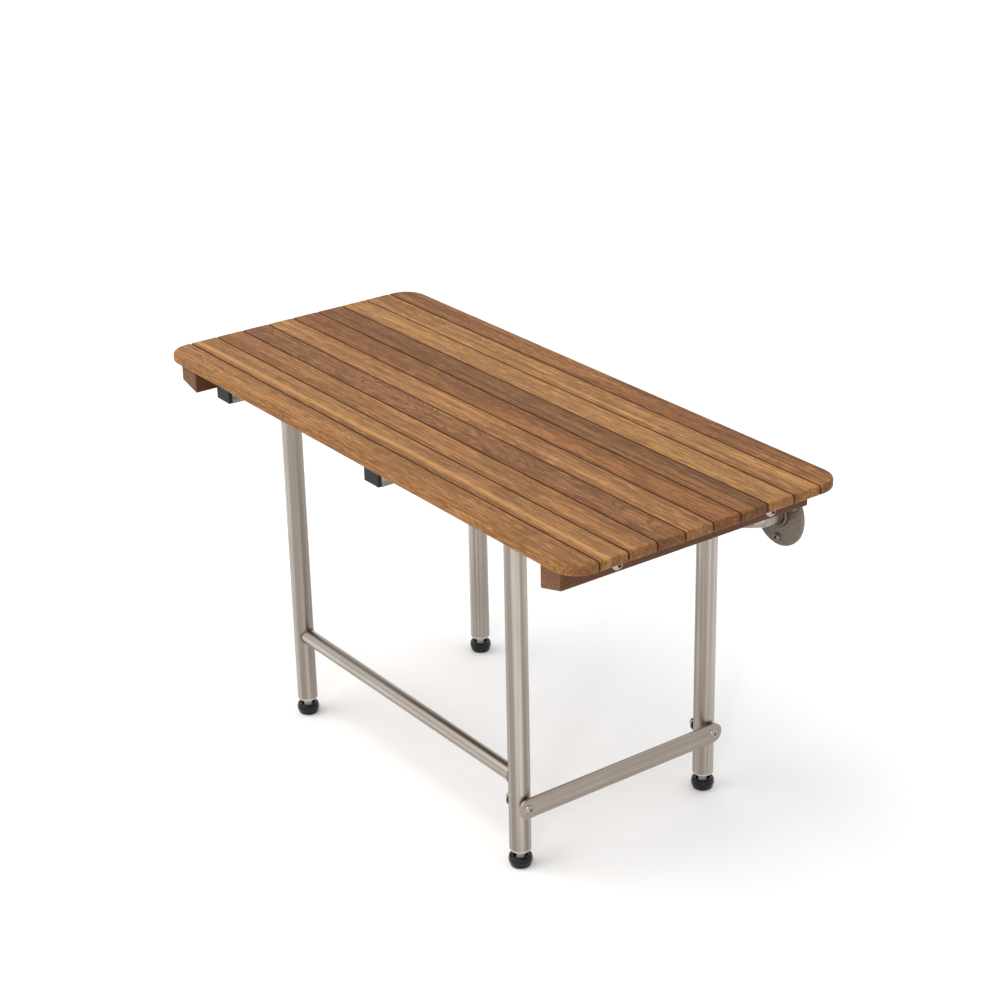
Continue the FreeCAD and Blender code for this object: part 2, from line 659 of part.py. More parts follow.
def make_wall_rail():
    """One tube, bent twice so that both ends meet the wall square."""
    body = node(new_body("wall_rail", 0, REAR_LEG_Y, "rail_height"), "wall_rail")
    reach_formula = f"{WALL_Y} - flange_thick - {REAR_LEG_Y}"
    half = size("flange_spacing") / 2
    bend = size("rail_bend")
    reach = bend + 5
    path = sketch_on(body, "path", "XY_Plane")
    up = Vector(0, 0, 1)
    left_bend = Part.Circle(Vector(bend - half, bend, 0), up, bend)
    right_bend = Part.Circle(Vector(half - bend, bend, 0), up, bend)
    path.addGeometry(Part.LineSegment(Vector(-half, reach, 0), Vector(-half, bend, 0)))
    path.addGeometry(Part.ArcOfCircle(left_bend, math.pi, 1.5 * math.pi))
    path.addGeometry(Part.LineSegment(Vector(bend - half, 0, 0), Vector(half - bend, 0, 0)))
    path.addGeometry(Part.ArcOfCircle(right_bend, 1.5 * math.pi, 2 * math.pi))
    path.addGeometry(Part.LineSegment(Vector(half, bend, 0), Vector(half, reach, 0)))
    for index in range(4):
        path.addConstraint(Sketcher.Constraint("Tangent", index, 2, index + 1, 1))
    path.addConstraint(Sketcher.Constraint("Vertical", 0))
    path.addConstraint(Sketcher.Constraint("Vertical", 4))
    path.addConstraint(Sketcher.Constraint("PointOnObject", 2, 1, -1))
    path.addConstraint(Sketcher.Constraint("Symmetric", 0, 1, 4, 2, -2))
    dimension(path, Sketcher.Constraint("Radius", 1, bend), "left_bend", "rail_bend")
    dimension(path, Sketcher.Constraint("Radius", 3, bend), "right_bend", "rail_bend")
    dimension(path, Sketcher.Constraint("DistanceX", 0, 1, 4, 2, 2 * half), "spacing", "flange_spacing")
    dimension(path, Sketcher.Constraint("DistanceY", -1, 1, 4, 2, reach), "reach", reach_formula)
    section = sketch_on(body, "section", "XZ_Plane")
    section.setExpression(".AttachmentOffset.Base.z", bound(f"-({reach_formula})"))
    add_circle(section, "outside", "leg_diameter", "-flange_spacing / 2")
    add_circle(section, "inside", LEG_BORE, "-flange_spacing / 2")
    doc.recompute()
    rail = body.newObject("PartDesign::AdditivePipe", "wall_rail_pipe")
    rail.Profile = section
    rail.Spine = (path, [f"Edge{number}" for number in range(1, 6)])
    doc.recompute()
    return body


def make_wall_flange(side, sign):
    """Round plate with three screw holes, one of them straight down."""
    name = f"wall_flange_{side}"
    body = node(new_body(name, f"{sign} * flange_spacing / 2", WALL_Y, "rail_height"), name)
    disc = sketch_on(body, "disc", "XZ_Plane")
    add_circle(disc, "rim", "flange_diameter")
    pad(body, disc, "flange_thick")
    round_edges(body, "flange_round", lambda edge: middle(edge).y < -0.01 and is_ring(edge))
    hole = sketch_on(body, "hole", "XZ_Plane")
    add_circle(hole, "hole", "flange_hole", "0", "-flange_circle / 2")
    drilled = pocket(body, hole)
    pattern = body.newObject("PartDesign::PolarPattern", f"{body.Name}_holes")
    pattern.Originals = [drilled]
    for feature in body.Origin.OriginFeatures:
        if feature.Role == "Y_Axis":
            pattern.Axis = (feature, [""])
    pattern.Angle = 360
    pattern.Occurrences = 3
    before = body.Shape.Volume
    body.Tip = pattern
    doc.recompute()
    if body.Shape.Volume >= before:
        raise RuntimeError("the flange's holes were not repeated")
    return body


make_wall_rail()
for side, sign in SIDES:
    make_wall_flange(side, sign)

# ---------------------------------------------------------------- legs, stretcher and feet


CUT_REACH = 30  # how far a cutting cylinder runs past a tube's axis
TIP = 2  # blunts the thin ears of a cope


def upright(label, x, y, low, high, *cuts):
    """A vertical tube whose ends are coped to the tubes it is welded to."""
    length = f"({high}) - ({low})"
    outside = cylinder(label + "_outside", "leg_diameter", length, x, y, low)
    inside = cylinder(label + "_inside", LEG_BORE, length, x, y, low)
    return node(cut(label + "_tube", outside, inside, *cuts), label)


def cross_cut(name, diameter, x, y, z):
    """A level cylinder that cuts an upright tube, as a cope or as a drilled hole."""
    return cylinder(name, diameter, 2 * CUT_REACH, f"{x} - {CUT_REACH}", y, z, "X")


for side, sign in SIDES:
    x = f"{sign} * {LEG_X}"
    for pair, pair_y, top in (("front", FRONT_LEG_Y, HINGE_Z), ("rear", REAR_LEG_Y, "rail_height")):
        label = f"{pair}_leg_{side}"
        cuts = [cross_cut(label + "_cope", "leg_diameter", x, pair_y, top)]
        if side == "right":
            drilled = "pivot_diameter + 2 * hole_play"
            cuts.append(cross_cut(label + "_drill", drilled, x, pair_y, "link_height"))
        upright(label, x, pair_y, "foot_height", f"{top} - {TIP}", *cuts)
    label = f"hinge_post_{side}"
    low_cope = cross_cut(label + "_low", "leg_diameter", x, REAR_LEG_Y, "rail_height")
    high_cope = cross_cut(label + "_high", "leg_diameter", x, REAR_LEG_Y, HINGE_Z)
    low = f"rail_height + {TIP}"
    upright(label, x, REAR_LEG_Y, low, f"{HINGE_Z} - {TIP}", low_cope, high_cope)


def make_stretcher():
    """Tube between the front legs, coped to both."""
    across = ("leg_spacing", f"-{LEG_X}", FRONT_LEG_Y, "stretcher_height", "X")
    bar = tube("stretcher", "stretcher_diameter", "leg_wall", *across)
    low = f"stretcher_height - {CUT_REACH}"
    copes = []
    for side, sign in SIDES:
        at = (f"{sign} * {LEG_X}", FRONT_LEG_Y, low)
        copes.append(cylinder(f"stretcher_cope_{side}", "leg_diameter", 2 * CUT_REACH, *at))
    return node(cut("stretcher_coped", bar, *copes), "front_stretcher")


make_stretcher()

# ---------------------------------------------------------------- feet

PAD_ROUND = {"base": 2.6, "waist": 5.0, "rim": 2.2, "lip": 0.9}


def pad_edge(edge):
    """Which of the pad's four rounded edges this is, or None."""
    if not is_ring(edge):
        return None
    height = middle(edge).z
    wide = 2 * edge.Curve.Radius
    if height < 0.01:
        return "base"
    if wide > size("pad_diameter") - 0.01:
        return "waist"
    if height > size("pad_height") - 0.01:
        return "rim" if wide > size("pad_recess") + 0.01 else "lip"
    return None


def foot_pad(name, x, y):
    """Turned pad: two cones back to back, hollowed at the top, with a blind hole for the stud."""
    low = cone(name + "_low", "pad_base", "pad_diameter", "pad_waist")
    high = cone(name + "_high", "pad_diameter", "pad_rim", "pad_height - pad_waist", z="pad_waist")
    hollow = cylinder(name + "_hollow", "pad_recess", "pad_height", z="pad_recess_floor")
    blind = cylinder(name + "_blind", "stud_diameter + hole_play", "pad_height", z="pad_seat")
    solid = cut(name + "_turned", fuse(name + "_solid", low, high), hollow, blind)
    doc.recompute()
    soft = doc.addObject("Part::Fillet", name + "_soft")
    soft.Base = solid
    picked = []
    for number, edge in enumerate(solid.Shape.Edges, start=1):
        which = pad_edge(edge)
        if which:
            picked.append((number, PAD_ROUND[which], PAD_ROUND[which]))
    if len(picked) != len(PAD_ROUND):
        raise RuntimeError(f"{name} has {len(picked)} edges to round")
    soft.Edges = picked
    return place(soft, x, y, 0)


def foot_stud(name, x, y):
    """Threaded stud with a hex, which stands in the pad and screws into the leg."""
    nut = hexagon(name + "_hex", "stud_hex", "stud_hex_high", z="pad_recess_floor")
    rod = cylinder(name + "_rod", "stud_diameter", "stud_top - pad_seat", z="pad_seat")
    return place(fuse(name + "_stud", nut, rod), x, y, 0)


def leg_insert(name, x, y):
    """Threaded plug pressed into a leg's end, with a flange under the tube."""
    plug = cylinder(name + "_plug", f"{LEG_BORE} - hole_play", "insert_length")
    flange = cylinder(name + "_flange", "leg_diameter - 0.4", "insert_flange", z="-insert_flange")
    bore = "stud_diameter + 2 * stud_play"
    hole = cylinder(name + "_bore", bore, "insert_length + insert_flange", z="-insert_flange")
    return place(cut(name + "_insert", fuse(name + "_solid", plug, flange), hole), x, y, "foot_height")


for pair, pair_y in PAIRS:
    inserts = []
    for side, sign in SIDES:
        x = f"{sign} * {LEG_X}"
        node(foot_pad(f"pad_{pair}_{side}", x, pair_y), f"foot_pad_{pair}_{side}")
        node(foot_stud(f"stud_{pair}_{side}", x, pair_y), f"foot_stud_{pair}_{side}")
        inserts.append(leg_insert(f"insert_{pair}_{side}", x, pair_y))
    compound(f"leg_inserts_{pair}", inserts)

# ---------------------------------------------------------------- link bar and its pivots


def make_link_bar():
    """Flat bar with round ends: a close hole at the rear pivot, an easy one at the front pivot."""
    middle_y = f"({FRONT_LEG_Y} + {REAR_LEG_Y}) / 2"
    body = node(new_body("link_bar", LINK_X, middle_y, "link_height"), "link_bar")
    outline = sketch_on(body, "outline", "YZ_Plane")
    half = size("leg_pitch") / 2
    radius = size("link_width") / 2
    up = Vector(0, 0, 1)
    front_end = Part.Circle(Vector(-half, 0, 0), up, radius)
    rear_end = Part.Circle(Vector(half, 0, 0), up, radius)
    outline.addGeometry(Part.ArcOfCircle(front_end, 0.5 * math.pi, 1.5 * math.pi))
    outline.addGeometry(Part.LineSegment(Vector(-half, -radius, 0), Vector(half, -radius, 0)))
    outline.addGeometry(Part.ArcOfCircle(rear_end, -0.5 * math.pi, 0.5 * math.pi))
    outline.addGeometry(Part.LineSegment(Vector(half, radius, 0), Vector(-half, radius, 0)))
    for index in range(4):
        outline.addConstraint(Sketcher.Constraint("Tangent", index, 2, (index + 1) % 4, 1))
    outline.addConstraint(Sketcher.Constraint("Symmetric", 0, 3, 2, 3, -1, 1))
    outline.addConstraint(Sketcher.Constraint("PointOnObject", 0, 3, -1))
    dimension(outline, Sketcher.Constraint("Radius", 0, radius), "end", "link_width / 2")
    dimension(outline, Sketcher.Constraint("DistanceX", 0, 3, 2, 3, 2 * half), "pitch", "leg_pitch")
    pad(body, outline, "link_thick")
    holes = sketch_on(body, "holes", "YZ_Plane")
    add_circle(holes, "front", "pivot_diameter + 2 * pivot_open_play", "-leg_pitch / 2")
    add_circle(holes, "rear", "pivot_diameter + 2 * pivot_play", "leg_pitch / 2")
    pocket(body, holes)
    return body


make_link_bar()
INNER_X = f"({LEG_X} - leg_diameter / 2)"
NUT_FACE = f"({INNER_X} - washer_thick)"
WASHER_HOLE = "pivot_diameter + 2 * hole_play"
for pair, pair_y in PAIRS:
    grip = f"{LINK_X} + link_thick - {NUT_FACE} + pivot_thread"
    head = ("pivot_head", "pivot_head_high", "pivot_key")
    screw = button_screw(f"pivot_{pair}", "pivot_diameter", grip, *head)
    node(place(screw, f"{LINK_X} + link_thick", pair_y, "link_height", "X"), f"link_screw_{pair}")
    spacer = washer(f"spacer_{pair}", "washer_diameter", WASHER_HOLE, "link_standoff")
    place(spacer, f"{LINK_X} - link_standoff", pair_y, "link_height", "X")
    inner_washer = washer(f"inner_washer_{pair}", "washer_diameter", WASHER_HOLE, "washer_thick")
    place(inner_washer, NUT_FACE, pair_y, "link_height", "X")
    compound(f"link_washers_{pair}", [spacer, inner_washer])
    thread = "pivot_diameter + hole_play"
    nut = dome_nut(f"cap_{pair}", thread, "cap_nut_across", "cap_nut_high")
    node(place(nut, NUT_FACE, pair_y, "link_height", "-X"), f"link_nut_{pair}")

# ---------------------------------------------------------------- check and write

doc.recompute()
for thing in doc.Objects:
    if "Invalid" in thing.State or "Error" in thing.State:
        raise RuntimeError(f"{thing.Name} failed: {thing.State}")
for finished in nodes:
    if finished.Shape.isNull() or not finished.Shape.isValid() or not finished.Shape.Solids:
        raise RuntimeError(f"{finished.Label} has no valid shape")

os.makedirs("parts", exist_ok=True)
for finished in nodes:
    finished.Shape.exportStep(os.path.join("parts", finished.Label + ".step"))
print(len(nodes), "sub-parts written")
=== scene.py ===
"""Looks of the folding teak shower bench: oiled teak, satin stainless tube, black feet and caps.

Lengths are in metres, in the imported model's own frame: +X to the right, -Y the open front,
+Z up, with the floor at zero.
"""
import math

import bpy
from mathutils import Matrix, Vector


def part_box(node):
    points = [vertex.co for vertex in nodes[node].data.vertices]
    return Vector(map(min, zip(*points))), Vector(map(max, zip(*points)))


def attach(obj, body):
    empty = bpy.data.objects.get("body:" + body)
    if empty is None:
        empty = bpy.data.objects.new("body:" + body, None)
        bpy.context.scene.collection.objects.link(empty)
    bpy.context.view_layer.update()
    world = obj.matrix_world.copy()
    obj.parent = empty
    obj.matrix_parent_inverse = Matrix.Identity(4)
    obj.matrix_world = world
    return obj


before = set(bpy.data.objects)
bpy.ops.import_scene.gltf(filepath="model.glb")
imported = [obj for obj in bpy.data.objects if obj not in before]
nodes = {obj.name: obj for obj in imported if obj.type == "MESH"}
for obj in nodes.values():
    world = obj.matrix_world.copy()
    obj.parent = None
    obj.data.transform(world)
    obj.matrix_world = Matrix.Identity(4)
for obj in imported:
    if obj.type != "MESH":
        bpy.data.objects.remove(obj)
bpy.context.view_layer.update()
scene = bpy.context.scene

MM = 0.001
TURN = 2 * math.pi
SIDES = ("left", "right")
ENDS = ("front", "rear")


# ---------------------------------------------------------------- camera

CAMERA_PLACE = Vector((2.0239, -1.4539, 1.4476))
CAMERA_AZIMUTH = math.radians(53.99)      # turned from +Y towards -X
CAMERA_DIP = math.radians(23.91)          # below the horizon
CAMERA_ROLL = math.radians(1.2)           # clockwise, as seen from behind it
CAMERA_LENS = 81.94
SENSOR = 36.0


def make_camera():
    """The camera stands at the right front, a little above the seat."""
    ahead = Vector((
        -math.sin(CAMERA_AZIMUTH) * math.cos(CAMERA_DIP),
        math.cos(CAMERA_AZIMUTH) * math.cos(CAMERA_DIP),
        -math.sin(CAMERA_DIP),
    ))
    level_right = ahead.cross(Vector((0, 0, 1))).normalized()
    level_up = level_right.cross(ahead)
    right = level_right * math.cos(CAMERA_ROLL) - level_up * math.sin(CAMERA_ROLL)
    up = right.cross(ahead)
    data = bpy.data.cameras.new("camera")
    data.lens = CAMERA_LENS
    data.sensor_width = SENSOR
    camera = bpy.data.objects.new("camera", data)
    turned = Matrix((right, up, -ahead)).transposed()
    camera.matrix_world = Matrix.Translation(CAMERA_PLACE) @ turned.to_4x4()
    scene.collection.objects.link(camera)
    scene.camera = camera


# ---------------------------------------------------------------- node helper

class Shader:
    """A material's node tree, built from short calls."""

    def __init__(self, name, rough=0.5, metal=0.0):
        self.material = bpy.data.materials.new(name)
        self.material.use_nodes = True
        self.tree = self.material.node_tree
        self.surface = self.tree.nodes["Principled BSDF"]
        self.surface.inputs["Roughness"].default_value = rough
        self.surface.inputs["Metallic"].default_value = metal
        self.coords = self.tree.nodes.new("ShaderNodeTexCoord")

    def feed(self, socket, value):
        """Links an output to a socket, or sets the socket's own value."""
        if isinstance(value, bpy.types.NodeSocket):
            self.tree.links.new(value, socket)
        else:
            socket.default_value = value

    def place(self, scale=(1, 1, 1), shift=(0, 0, 0)):
        """Object coordinates, shifted and then scaled."""
        moved = self.tree.nodes.new("ShaderNodeVectorMath")
        moved.operation = "ADD"
        self.feed(moved.inputs[0], self.coords.outputs["Object"])
        self.feed(moved.inputs[1], shift)
        scaled = self.tree.nodes.new("ShaderNodeVectorMath")
        scaled.operation = "MULTIPLY"
        self.feed(scaled.inputs[0], moved.outputs[0])
        self.feed(scaled.inputs[1], scale)
        return scaled.outputs[0]

    def noise(self, vector, detail=2.0, rough=0.5):
        """Noise between 0 and 1, one feature to each unit of the vector."""
        node = self.tree.nodes.new("ShaderNodeTexNoise")
        self.feed(node.inputs["Vector"], vector)
        node.inputs["Scale"].default_value = 1.0
        node.inputs["Detail"].default_value = detail
        node.inputs["Roughness"].default_value = rough
        return node.outputs["Fac"]

    def math(self, operation, first, second=0.0, third=0.0):
        node = self.tree.nodes.new("ShaderNodeMath")
        node.operation = operation
        for socket, value in zip(node.inputs, (first, second, third)):
            self.feed(socket, value)
        return node.outputs[0]

    def span(self, value, low, high, to_low=0.0, to_high=1.0):
        """Carries low..high onto to_low..to_high, smoothly and clamped."""
        node = self.tree.nodes.new("ShaderNodeMapRange")
        node.interpolation_type = "SMOOTHSTEP"
        for socket, number in zip(node.inputs, (value, low, high, to_low, to_high)):
            self.feed(socket, number)
        return node.outputs[0]

    def split(self, vector):
        node = self.tree.nodes.new("ShaderNodeSeparateXYZ")
        self.feed(node.inputs[0], vector)
        return node.outputs

    def blend(self, share, first, second):
        """Mixes two colours; share 0 gives the first."""
        node = self.tree.nodes.new("ShaderNodeMix")
        node.data_type = "RGBA"
        self.feed(node.inputs[0], share)
        for socket, value in zip(node.inputs[6:8], (first, second)):
            self.feed(socket, value)
        return node.outputs[2]

    def colour(self, value):
        self.feed(self.surface.inputs["Base Color"], value)

    def roughness(self, value):
        self.feed(self.surface.inputs["Roughness"], value)

    def bump(self, height, strength, depth):
        """Raises the surface by the height field, depth metres at height 1."""
        node = self.tree.nodes.new("ShaderNodeBump")
        node.inputs["Strength"].default_value = strength
        node.inputs["Distance"].default_value = depth
        self.feed(node.inputs["Height"], height)
        self.feed(self.surface.inputs["Normal"], node.outputs["Normal"])


def linear(red, green, blue):
    """A colour given in screen values of 0 to 255, as linear light."""
    def one(value):
        share = value / 255
        low = share / 12.92
        high = ((share + 0.055) / 1.055) ** 2.4
        return low if share <= 0.04045 else high
    return (one(red), one(green), one(blue), 1.0)


def shade(tone, red, green, blue):
    """The tone with each channel multiplied, as a colour."""
    return tuple(min(1.0, c * k) for c, k in zip(tone[:3], (red, green, blue))) + (1.0,)


def along(axis, across, lengthways):
    """Noise scale for marks that run along one axis: 0 is X, 1 is Y, 2 is Z."""
    scale = [across, across, across]
    scale[axis] = lengthways
    return tuple(scale)


def paint(material, *names):
    """Gives each of the CAD nodes this one material."""
    for name in names:
        target = nodes[name].data.materials
        target.clear()
        target.append(material)


# ---------------------------------------------------------------- teak

SEAT_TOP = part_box("slat_05")[1].z
RING = 3.4 * MM            # width of a growth ring
RING_TREMBLE = 1.6 * MM    # how far a ring strays in a short way
PITH_DEPTH = 0.045         # how far below the seat the middle of the tree was
LOOPS_PER_UNIT = 16        # contour loops of the cathedral grain
# Painted shade: the brown that the slat sides facing a gap are darkened towards.
GAP_SHADE_BROWN = linear(84, 50, 30)
GRAIN_DEPTH = 0.3 * MM
GRAIN_STRENGTH = 0.4
FIBRE_ROUGHNESS = 0.18     # how much rougher the fibre's peaks are than its valleys
WOOD_SHINE = 0.2
FACING_RANGE = (0.45, 0.95)  # how squarely a face has to look along an axis to count as an end or side
END_GRAIN_SHARE = 0.42
# How strongly that painted shade darkens the slat sides facing a gap.
GAP_SHADE_SHARE = 0.8

# Noise in the wood: features to the metre across the grain and along it.
DRIFT = (7, 1.6)
PATCHES = (16, 4)
LOOPS = (34, 7)
BANDS = (46, 1.3)
TREMBLE = (90, 9)
SEAMS = (125, 1.7)
LINES = (270, 2.4)
FIBRE = (330, 16)
THREAD = (480, 30)
FLECKS = (800, 55)
PORE_RANGE = (0.56, 0.68)  # where in the fleck noise a pore begins and is full
PORE_SHARE = 0.6

# What the grain multiplies a slat's tone by: red, green, blue.
FADED = (0.84, 0.82, 0.8)
PALE = (1.45, 1.45, 1.42)
SAPWOOD = (1.7, 1.74, 1.78)
DARK = (0.52, 0.44, 0.37)
DEEP_BROWN = (0.32, 0.25, 0.20)


def teak(name, tone, seed, gap_shade_sides, ring_share=0.5, wander=14 * MM, figure=0.0, streak=None, lean=0.0,
         force=1.0):
    """Oiled teak whose grain runs along X: growth rings, fibre streaks, pores and broad bands.

    tone is the middle colour, wander how far the rings drift across the board along its
    length, figure the strength of its looping cathedral grain, and lean shifts the rings' middle.
    streak is (distance from the board's middle, width) of a pale sapwood line.
    force is how strongly the broader grain stands out.
    gap_shade_sides names the sides, -1 front and 1 rear, that face a drainage gap: they are darkened
    towards a brown as painted shade, standing in for the shadow inside the gap.
    """
    made = Shader(name, rough=0.5)
    low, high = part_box(name)
    middle = (low.y + high.y) / 2
    shift = (seed * 1.37, -middle, -SEAT_TOP)
    across, deep = made.split(made.place(shift=shift))[1:3]

    def grain(kind, detail, rough=0.5, origin=shift):
        return made.noise(made.place(along(0, *kind), origin), detail, rough)

    drift = made.math("MULTIPLY", made.math("SUBTRACT", grain(DRIFT, 1.5), 0.5), wander * 2)
    side = made.math("ADD", made.math("ADD", across, drift), lean)
    below = made.math("ADD", deep, PITH_DEPTH)
    squares = made.math("ADD", made.math("POWER", side, 2.0), made.math("POWER", below, 2.0))
    radius = made.math("MULTIPLY_ADD", grain(TREMBLE, 2), RING_TREMBLE, made.math("SQRT", squares))
    wave = made.math("SINE", made.math("MULTIPLY", radius, TURN / RING))
    rings = made.span(wave, -0.1, 1.0)

    fibre = grain(FIBRE, 4, 0.8)
    thread = grain(THREAD, 3, 0.8, origin=(seed * 0.7, 0.3, 0.1))
    lines = grain(LINES, 2, origin=(seed * 0.9, 0.1, 0.4))
    pore = made.span(grain(FLECKS, 1.5), *PORE_RANGE)

    pale = shade(tone, *PALE)
    dark = shade(tone, *DARK)
    deep_brown = shade(tone, *DEEP_BROWN)

    # Each layer covers the last where its noise lies above the first number, up to the last one's share.
    colour = made.blend(made.span(grain(BANDS, 3.5, 0.62), 0.38, 0.60), shade(tone, *FADED), pale)
    colour = made.blend(made.span(grain(SEAMS, 2), 0.47, 0.60, 0.0, 1.3 * (force - 1)), colour, deep_brown)
    colour = made.blend(made.span(grain(PATCHES, 2), 0.42, 0.62, 0.0, 0.35 * force), colour, dark)
    colour = made.blend(made.math("MULTIPLY", rings, ring_share), colour, dark)
    colour = made.blend(made.span(lines, 0.50, 0.62, 0.0, 0.6), colour, dark)
    colour = made.blend(made.span(fibre, 0.44, 0.58, 0.0, 0.7), colour, dark)
    colour = made.blend(made.span(thread, 0.50, 0.62, 0.0, 0.65), colour, pale)
    if figure:
        loops = grain(LOOPS, 1.5, origin=(seed * 0.53, -middle, 0.2))
        contour = made.math("SINE", made.math("MULTIPLY", loops, TURN * LOOPS_PER_UNIT))
        colour = made.blend(made.span(contour, 0.1, 0.95, 0.0, figure), colour, deep_brown)
    if streak:
        offset, width = streak
        away = made.math("ABSOLUTE", made.math("SUBTRACT", made.math("ADD", across, drift), offset))
        line = made.span(away, width, width * 0.2, 0.0, 0.8)
        colour = made.blend(line, colour, shade(tone, *SAPWOOD))
    colour = made.blend(made.math("MULTIPLY", pore, PORE_SHARE), colour, deep_brown)

    facing = made.split(made.coords.outputs["Normal"])
    end = made.span(made.math("ABSOLUTE", facing[0]), *FACING_RANGE)
    colour = made.blend(made.math("MULTIPLY", end, END_GRAIN_SHARE), colour, deep_brown)
    # Painted shade: slat sides that face a gap are darkened towards a shadowed brown.
    if len(gap_shade_sides) == 2:
        sideways = made.math("ABSOLUTE", facing[1])
    else:
        sideways = made.math("MULTIPLY", facing[1], gap_shade_sides[0])
    colour = made.blend(made.span(sideways, *FACING_RANGE, 0.0, GAP_SHADE_SHARE), colour, GAP_SHADE_BROWN)
    made.colour(colour)

    made.roughness(made.math("MULTIPLY_ADD", fibre, FIBRE_ROUGHNESS, 0.46))
    height = made.math("MULTIPLY_ADD", fibre, 0.5, made.math("MULTIPLY", rings, 0.25))
    made.bump(made.math("SUBTRACT", height, pore), GRAIN_STRENGTH, GRAIN_DEPTH)
    made.surface.inputs["Specular IOR Level"].default_value = WOOD_SHINE
    return made.material


BATTEN_TONE = linear(113, 76, 47)
BATTEN_BANDS = (60, 1.8)
BATTEN_FIBRE = (330, 20)
BATTEN_FLECKS = (800, 80)
BATTEN_PALE = (1.2, 1.2, 1.15)
BATTEN_DARK = (0.6, 0.52, 0.46)
BATTEN_PORE = (0.32, 0.26, 0.2)
# Painted shade: the darker brown laid on the battens' faces that look along X.
BATTEN_SHADED_SIDE = (0.40, 0.32, 0.26)


def batten_teak(name, seed):
    """The battens' grain runs along Y and their tone is darker; faces that look along X get painted shade.
    """
    made = Shader(name, rough=0.55)
    shift = (seed * 0.61, seed * 0.37, 0)
    fibre = made.noise(made.place(along(1, *BATTEN_FIBRE), shift), detail=4, rough=0.7)
    bands = made.noise(made.place(along(1, *BATTEN_BANDS), shift), detail=2.5)
    flecks = made.noise(made.place(along(1, *BATTEN_FLECKS), shift), detail=1.5)
    pores = made.span(flecks, *PORE_RANGE)
    pale, dark, pore, side = (
        shade(BATTEN_TONE, *each) for each in (BATTEN_PALE, BATTEN_DARK, BATTEN_PORE, BATTEN_SHADED_SIDE))
    colour = made.blend(made.span(bands, 0.36, 0.66), BATTEN_TONE, pale)
    colour = made.blend(made.span(fibre, 0.43, 0.60, 0.0, 0.6), colour, dark)
    colour = made.blend(made.math("MULTIPLY", pores, PORE_SHARE), colour, pore)
    facing = made.split(made.coords.outputs["Normal"])
    # Painted shade: faces that look along X are darkened towards that brown.
    painted_side_shade = made.span(made.math("ABSOLUTE", facing[0]), 0.4, 0.9, 0.0, 0.55)
    colour = made.blend(painted_side_shade, colour, side)
    made.colour(colour)
    made.roughness(made.math("MULTIPLY_ADD", fibre, FIBRE_ROUGHNESS, 0.45))
    made.bump(made.math("SUBTRACT", fibre, pores), GRAIN_STRENGTH, GRAIN_DEPTH)
    made.surface.inputs["Specular IOR Level"].default_value = WOOD_SHINE
    return made.material


# Middle colour of each slat, front to back, with its grain.
SLATS = (
    dict(tone=linear(156, 109, 61), ring_share=0.45, wander=26 * MM, lean=6 * MM, figure=0.28),
    dict(tone=linear(149, 106, 60), ring_share=0.35, streak=(-7 * MM, 5 * MM)),
    dict(tone=linear(151, 105, 59), ring_share=0.5, force=1.4),
    dict(tone=linear(144, 98, 56), ring_share=0.3, wander=24 * MM, figure=0.5, force=1.35),
    dict(tone=linear(165, 118, 69), ring_share=0.5, lean=12 * MM, force=1.5),
    dict(tone=linear(144, 95, 49), ring_share=0.5, figure=0.3, force=1.5),
    dict(tone=linear(130, 87, 46), ring_share=0.35, force=1.7),
    dict(tone=linear(166, 121, 69), ring_share=0.45, lean=-9 * MM, force=1.2),
    dict(tone=linear(165, 119, 68), ring_share=0.5, force=1.6),
    dict(tone=linear(149, 101, 55), ring_share=0.55, wander=20 * MM, figure=0.25, force=1.8),
)


def finish_wood():
    """Each slat has its own board; the two battens are darker."""
    for number, look in enumerate(SLATS, start=1):
        name = f"slat_{number:02d}"
        gap_shade_sides = [side for side in (-1, 1) if 1 <= number + side <= len(SLATS)]
        paint(teak(name, seed=number, gap_shade_sides=gap_shade_sides, **look), name)
    for seed, side in enumerate(SIDES, start=21):
        name = f"end_batten_{side}"
        paint(batten_teak(name, seed), name)


# ---------------------------------------------------------------- metals

TUBE_TONE = linear(178, 170, 162)
FLANGE_TONE = linear(136, 125, 114)
BRIGHT_TONE = linear(168, 162, 154)
WALL_SCREW_TONE = linear(128, 121, 113)
WELD_TONE = linear(128, 120, 110)
HIDDEN_STEEL_TONE = linear(150, 148, 145)
PLATED_TONE = linear(196, 192, 186)
STUD_TONE = linear(246, 243, 238)
MARK_DEPTH = 0.08 * MM     # how deep the marks on a tube or plate are


def satin_steel(name, tone, rough, axis, streak=0.4):
    """Belt-polished stainless steel, with fine lines and broad soft stripes along one axis."""
    made = Shader(name, rough=rough, metal=1.0)
    lines = made.noise(made.place(along(axis, 420, 2.2)), detail=4, rough=0.65)
    stripes = made.noise(made.place(along(axis, 130, 0.9), (0.3, 0.7, 0.2)), detail=2)
    cloud = made.noise(made.place((14, 14, 9)), detail=3)
    dark = shade(tone, 1 - streak, 1 - streak * 1.05, 1 - streak * 1.12)
    pale = shade(tone, 1 + streak * 0.35, 1 + streak * 0.35, 1 + streak * 0.36)
    colour = made.blend(made.span(stripes, 0.36, 0.62), dark, pale)
    colour = made.blend(made.span(lines, 0.40, 0.62, 0.0, 0.45), colour, dark)
    colour = made.blend(made.span(cloud, 0.40, 0.70, 0.0, 0.3), colour, dark)
    made.colour(colour)
    made.roughness(made.math("MULTIPLY_ADD", lines, 0.16, rough - 0.08))
    made.bump(lines, 0.18, MARK_DEPTH)
    return made.material


